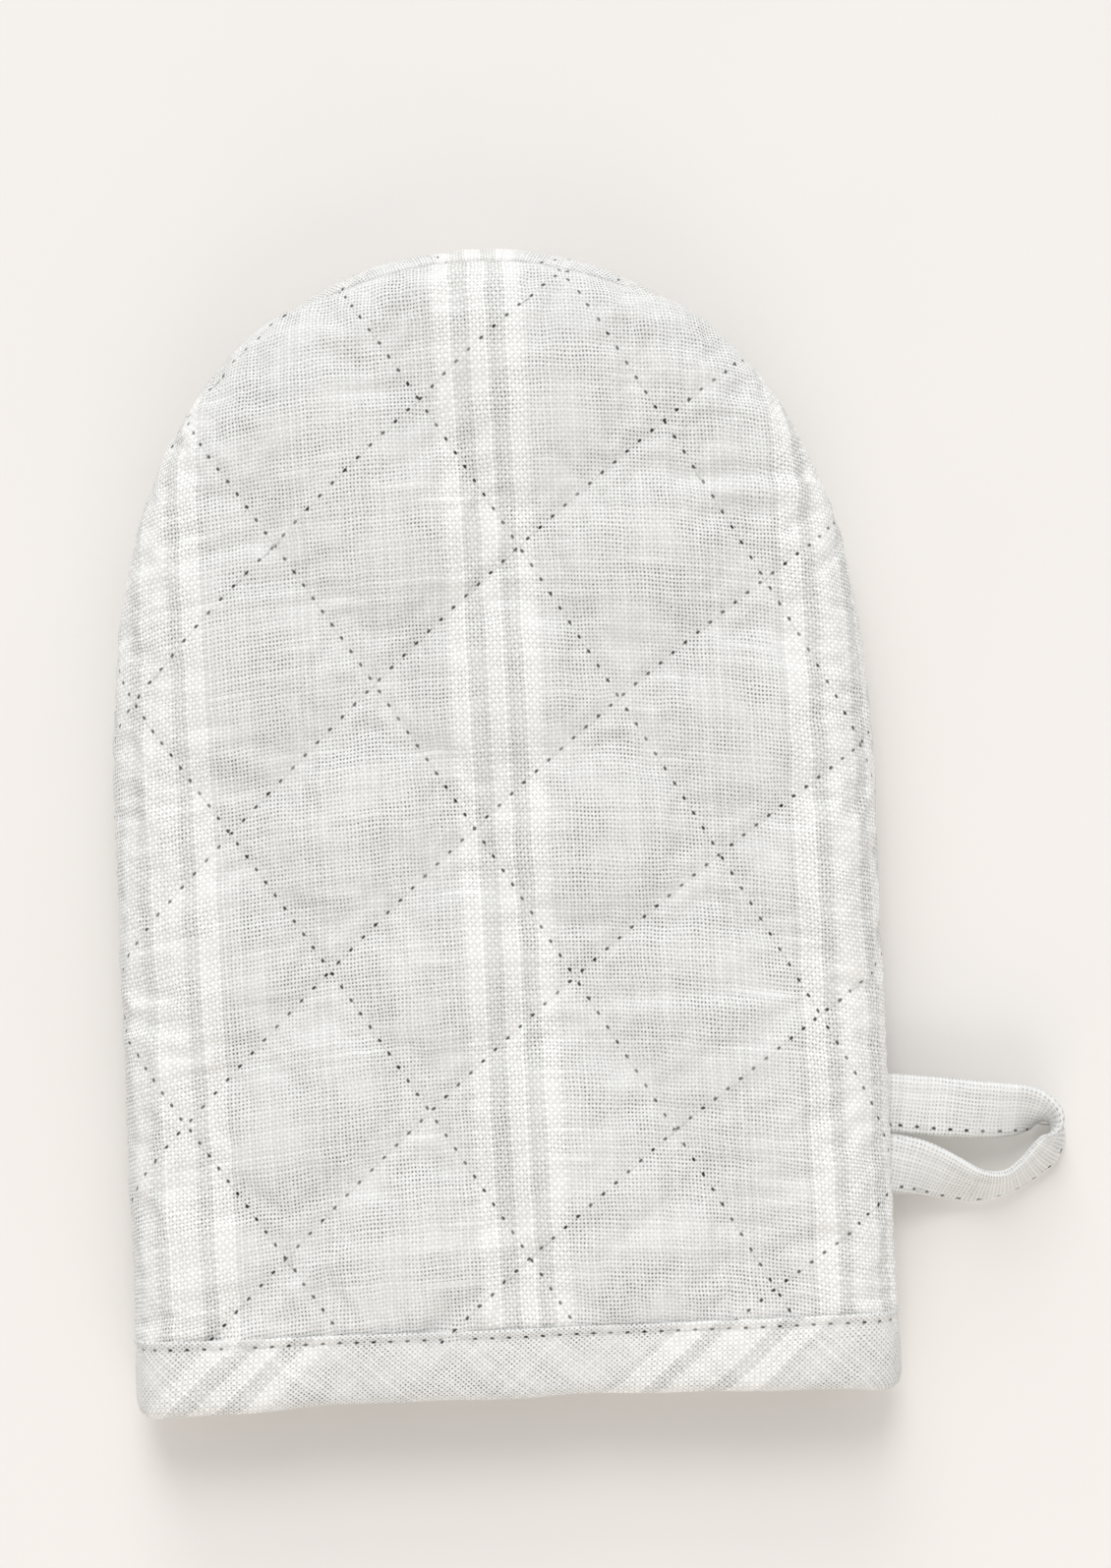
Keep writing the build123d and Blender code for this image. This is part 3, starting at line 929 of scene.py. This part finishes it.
# ----------------------------------------------------------
# Loop edge stitching. A row of lockstitch that holds the folded strip shut, 1.8 mm from its
# open edge.
edge_marks = np.arange(2 * STITCH, strip_gone[-1] - 4 * MM, STITCH)
seat, aside, out = (np.column_stack([np.interp(edge_marks, strip_gone, line[:, k]) for k in range(3)])
                    for line in (strip_middle, strip_across, strip_away))
row = seat - aside * (LOOP_WIDTH / 2 - EDGE_ROW)
edge_rows = [(row[:-1] + out[:-1] * lift, row[1:] + out[1:] * lift, out[:-1] * lift)
             for lift in (LOOP_DEPTH * 0.5, -LOOP_DEPTH * 0.5)]
loop_thread = stitches("loop_edge_stitching", edge_rows, STITCH, 0.16 * MM, 0.3 * MM, 7, thread)
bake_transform(loop_thread)
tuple(FOLD_START)
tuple(FOLD_END)
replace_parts(loop_thread, "loop_edge_thread")


# ----------------------------------------------------------
# Mouth binding. A strip of the striped cloth cut at 45 degrees to the weave, folded over all
# the layers of the mouth with both its edges turned under. It follows the mouth all the way
# round, a little fuller than the body, with a soft uneven hem.
BINDING = BINDING_Y - MOUTH_Y
TOPSTITCH = BINDING - 1.7 * MM
HEM_ARCH = 2.5 * MM          # rise of the hem between its corners
BIAS_SHIFT = 44.5 * MM       # places the stripes along the strip
# The folded strip's outline at DRAWN high: height above the hem and depth out from the body, mm.
DRAWN = 15
BINDING_OUTER = ((15.0, 0.2), (15.2, 0.95), (14.6, 1.3), (13.9, 0.85), (13.4, 0.55), (12.9, 0.66),
                 (11.5, 0.98), (9.5, 1.15), (7.0, 1.2), (4.5, 1.2), (2.5, 1.05), (1.0, 0.6),
                 (0.1, -0.5), (-0.2, -1.7), (0.1, -2.9), (1.2, -4.0), (3.0, -4.4), (6.0, -4.45),
                 (9.0, -4.4), (11.5, -4.15), (13.2, -3.75), (13.8, -3.9), (14.4, -4.0), (14.6, -3.5))
BINDING_INNER = ((14.3, -2.95), (11.5, -3.1), (8.0, -3.45), (4.0, -3.45), (1.7, -2.9), (0.9, -1.7),
                 (1.6, -0.35), (4.0, 0.25), (8.0, 0.3), (11.5, 0.12), (14.2, 0.05))


def mouth_ring(steps):
    """The mouth's section at the binding, evenly spaced, with its outward directions."""
    half = HALF_WIDTH - 0.5 * MM
    across = np.linspace(-half + 0.5 * MM, half - 0.5 * MM, 400)
    flat = np.column_stack((across, np.full(400, BINDING_Y - BINDING / 2)))
    front, back = laid_on_form(1, flat), laid_on_form(-1, flat[::-1])
    top, bottom = (face[np.abs(face[:, 0]) < half - 1.6 * MM][:, [0, 2]] for face in (front, back))
    edge = np.array(((half, 13.2 * MM), (half + 0.25 * MM, 11.5 * MM), (half, 9.8 * MM)))
    ring = np.vstack((top, edge, bottom, edge[::-1] * (-1, 1)))
    ring = np.vstack((ring, ring[:1]))
    gone = gone_along(ring)
    marks = np.linspace(0, gone[-1], steps, endpoint=False)
    even = np.column_stack([np.interp(marks, gone, ring[:, k]) for k in (0, 1)])
    for _ in range(6):
        even = (np.roll(even, 1, 0) + 2 * even + np.roll(even, -1, 0)) / 4
    ahead = np.roll(even, -1, 0) - np.roll(even, 1, 0)
    ahead = unit(ahead)
    return even, np.column_stack((-ahead[:, 1], ahead[:, 0])), marks, gone[-1]


def wander(gone, total, waves):
    """A closed uneven line: (waves round the mouth, amplitude, phase)."""
    turn = 2 * math.pi * gone / total
    return sum(size * np.sin(count * turn + phase) for count, size, phase in waves)


ring, ring_away, ring_gone, round_mouth = mouth_ring(420)
hem = wander(ring_gone, round_mouth, ((3, 0.25 * MM, 0.4), (7, 0.22 * MM, 2.0), (13, 0.16 * MM, 5.1)))
full = wander(ring_gone, round_mouth, ((5, 0.12 * MM, 1.0), (17, 0.16 * MM, 0.3), (29, 0.12 * MM, 4.0)))
pucker = wander(ring_gone, round_mouth, ((103, 0.10 * MM, 0.0), (61, 0.06 * MM, 2.0)))


def binding_points(profile):
    """The folded strip's section carried round the mouth, with its wandering hem and puckers."""
    low = np.clip(1 - profile[:, 0] / BINDING, 0, 1)
    near_stitch = np.exp(-((profile[:, 0] - TOPSTITCH) / (2.6 * MM)) ** 2)
    height = MOUTH_Y + profile[None, :, 0] + hem[:, None] * (0.25 + 0.75 * low[None])
    height = height + HEM_ARCH * (1 - (ring[:, :1] / HALF_WIDTH) ** 2) * low[None]
    outer = (profile[:, 1] > -1.7 * MM).astype(float)
    depth = (profile[None, :, 1] + outer[None] * (full[:, None] * low[None]
             + pucker[:, None] * near_stitch[None]))
    points = np.stack((ring[:, None, 0] + ring_away[:, None, 0] * depth, height,
                       ring[:, None, 1] + ring_away[:, None, 1] * depth), 2)
    points[:, :, 2] = np.maximum(points[:, :, 2], 0.1 * MM)
    return points


def ring_faces(count, size):
    """Faces of a closed ring of closed sections."""
    number = np.arange(count * size).reshape(count, size)
    after = np.roll(number, -1, 0)
    return np.stack((number, after, np.roll(after, -1, 1), np.roll(number, -1, 1)), 2).reshape(-1, 4)


profile = np.array(BINDING_OUTER + BINDING_INNER) * (BINDING / DRAWN, MM)
down = gone_along(profile)
along = ring_gone + ring[0, 0]
sewn = np.stack(np.broadcast_arrays(ring_gone[:, None], profile[None, :, 0] - TOPSTITCH), 2)
bias = np.stack(np.broadcast_arrays(along[:, None], -down[None] + BINDING), 2)
turn = math.sqrt(0.5)
bias = np.stack((turn * (bias[..., 0] - bias[..., 1]), turn * (bias[..., 0] + bias[..., 1])), 2)
bias[..., 0] += BIAS_SHIFT
binding_maps = {"cloth": bias.reshape(-1, 2), "sewn": sewn.reshape(-1, 2)}
folded = binding_points(profile)
binding_cloth = woven("Plain weave of cotton and linen yarn, bias binding", WARP, STRIPES,
                      ((0, 1.0),))
binding = piece("binding_strip", folded.reshape(-1, 3), ring_faces(*folded.shape[:2]).tolist(),
                binding_maps, binding_cloth)
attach(binding, "mitt")
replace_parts(binding, "mouth_binding")


# ----------------------------------------------------------
# Binding topstitch. One row of lockstitch through everything, 1.7 mm below the binding's upper
# edge, pulling the cloth in at each hole.
top_marks = np.arange(int(round_mouth / STITCH)) * STITCH
closed = np.append(ring_gone, round_mouth)


def round_ring(values):
    """A closed ring's values at the stitches."""
    return np.interp(top_marks, closed, np.append(values, values[0]))


top_rows = []
for level, sign in ((0.64, 1), (-3.8, -1)):
    line = ring + ring_away * level * MM
    level_y = MOUTH_Y + TOPSTITCH + round_ring(hem) * 0.3
    seat = np.column_stack((round_ring(line[:, 0]), level_y, round_ring(line[:, 1])))
    out = np.column_stack((round_ring(ring_away[:, 0]), np.zeros(len(seat)),
                           round_ring(ring_away[:, 1]))) * sign
    top_rows.append((seat[:-1], seat[1:], out[:-1]))
topstitch = stitches("binding_topstitching", top_rows, STITCH, 0.18 * MM, 0.28 * MM, 8, thread)
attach(topstitch, "mitt")
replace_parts(topstitch, "binding_topstitch_thread")


# ----------------------------------------------------------
# Table, light and camera. A matt off-white board under a broad soft light from beyond the
# fingertips, seen from straight above with the mitt turned a little anticlockwise.
def plain(name, code, roughness):
    """A matt colour with a very faint mottle."""
    material, tree, bsdf = bare_material(name)
    place = add(tree, "ShaderNodeTexCoord").node.outputs["Object"]
    mottle = add(tree, "ShaderNodeTexNoise", place, None, 14.0, 2.0)
    tone = add(tree, "ShaderNodeMapRange", mottle, 0.3, 0.7, 0.985, 1.0)
    shade = add(tree, "ShaderNodeVectorMath", colour(code)[:3], operation="SCALE").node
    tree.links.new(tone, shade.inputs["Scale"])
    tree.links.new(shade.outputs[0], bsdf.inputs["Base Color"])
    bsdf.inputs["Roughness"].default_value = roughness
    bsdf.inputs["Specular IOR Level"].default_value = 0.1
    return material


def lamp(name, kind, place, power, code, **shape):
    """A soft light that looks at the middle of the table."""
    data = bpy.data.lights.new(name, kind)
    data.energy = power
    data.color = colour(code)[:3]
    for key, value in shape.items():
        setattr(data, key, value)
    light = shown(name, data)
    light.location = place
    light.rotation_euler = (-Vector(place)).to_track_quat("-Z", "Y").to_euler()
    return light


board = [(-4, -4, 0), (4, -4, 0), (4, 4, 0), (-4, 4, 0)]
table = piece("table", board, [(0, 1, 2, 3)], {}, plain("Matt painted board", "#EDEAE6", 0.9))
key = lamp("key", "SUN", (-0.03, 0.8, 1.0), 0.86, "#FBFCFF", angle=math.radians(24))
window = lamp("window", "AREA", (-0.2, 2.6, 1.1), 25, "#FFFFFF", shape="SQUARE", size=1.6)
bounce = lamp("bounce", "AREA", (0.1, -1.1, 0.7), 4, "#FFEEDD", shape="SQUARE", size=1.0)

scene = bpy.context.scene
scene.world = bpy.data.worlds.new("studio")
scene.world.use_nodes = True
sky = scene.world.node_tree.nodes["Background"]
sky.inputs["Color"].default_value = colour("#FFFFFF")
sky.inputs["Strength"].default_value = 0.67
scene.view_settings.view_transform = "Standard"

camera = shown("camera", bpy.data.cameras.new("camera"))
camera.data.lens = 100
camera.data.sensor_width = 36
camera.data.dof.use_dof = False
camera.location = (0.0127, 0.0082, 0.925)
camera.rotation_euler = (0, 0, math.radians(-2.3))
scene.camera = camera
